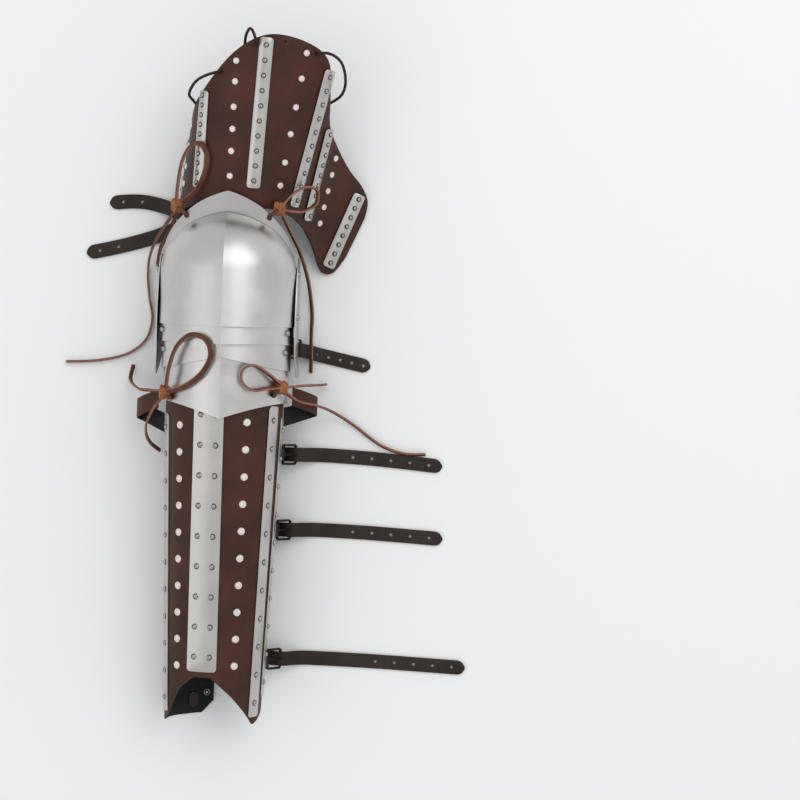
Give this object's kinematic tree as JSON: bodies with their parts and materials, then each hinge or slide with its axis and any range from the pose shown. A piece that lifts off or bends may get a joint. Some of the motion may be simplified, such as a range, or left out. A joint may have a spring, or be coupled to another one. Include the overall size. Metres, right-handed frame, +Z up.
{
  "type": "splinted leg harness with greave",
  "caption": "Leg armour for one leg: a splinted leather greave laced to a jointed steel knee and a splinted leather thigh guard, with straps and buckles.",
  "frame": {"origin": "on the floor, at the middle of the underside of the knee strap, under the knee", "axes": "+Y along the leg towards the thigh, +Z up from the floor on which it lies on its back, +X to its right seen from above"},
  "size_m": [0.4922, 0.7949, 0.1588],
  "materials": {
    "knee_steel": "satin brushed steel with a soft sheen",
    "splint_steel": "satin steel splints with bright domed rivets",
    "brown_leather": "smooth dark reddish brown leather, black inside",
    "strap_leather": "grainy black-brown strap leather",
    "thong": "mid-brown leather lace",
    "black_iron": "blackened iron"
  },
  "bodies": {
    "knee": {"knee_cop": "knee_steel", "knee_wing_left": "knee_steel", "knee_wing_right": "knee_steel", "knee_strap": "strap_leather", "knee_buckle": "black_iron", "knee_buckle_tab": "strap_leather"},
    "thigh_guard": {"knee_upper_lame": "knee_steel", "thigh_leather": "brown_leather", "thigh_splint_left_rear": "splint_steel", "thigh_splint_left": "splint_steel", "thigh_splint_front": "splint_steel", "thigh_splint_right": "splint_steel", "thigh_splint_fold": "splint_steel", "thigh_splint_flap": "splint_steel", "thigh_strap_upper": "strap_leather", "thigh_strap_lower": "strap_leather", "lace_upper_left": "thong", "lace_upper_right": "thong", "lace_hip_left": "thong", "lace_hip_front": "thong", "lace_hip_right": "thong"},
    "lame_1": {"knee_lame_1": "knee_steel"},
    "lame_2": {"knee_lame_2": "knee_steel"},
    "greave": {"knee_lower_plate": "knee_steel", "greave_leather": "brown_leather", "greave_splint_front": "splint_steel", "greave_splint_right": "splint_steel", "greave_splint_right_rear": "splint_steel", "greave_splint_left": "splint_steel", "greave_splint_back": "splint_steel", "greave_strap_upper": "strap_leather", "greave_buckle_upper": "black_iron", "greave_buckle_tab_upper": "strap_leather", "greave_strap_middle": "strap_leather", "greave_buckle_middle": "black_iron", "greave_buckle_tab_middle": "strap_leather", "greave_strap_lower": "strap_leather", "greave_buckle_lower": "black_iron", "greave_buckle_tab_lower": "strap_leather", "side_tab_left": "brown_leather", "side_tab_right": "brown_leather", "lace_lower_left": "thong", "lace_lower_right": "thong"}
  },
  "joints": [
    {"name": "thigh_pivot", "type": "hinge", "parent": "knee", "child": "thigh_guard", "pos_m": [0.003, 0.068, 0.075], "axis": [-1, 0, 0], "range_deg": [0, 10]},
    {"name": "lame_1_pivot", "type": "hinge", "parent": "knee", "child": "lame_1", "pos_m": [0.003, 0.018, 0.075], "axis": [1, 0, 0], "range_deg": [0, 6]},
    {"name": "lame_2_pivot", "type": "hinge", "parent": "lame_1", "child": "lame_2", "pos_m": [0.003, -0.0045, 0.075], "axis": [1, 0, 0], "range_deg": [0, 6]},
    {"name": "greave_pivot", "type": "hinge", "parent": "lame_2", "child": "greave", "pos_m": [0.003, -0.027, 0.075], "axis": [1, 0, 0], "range_deg": [0, 6]}
  ]
}
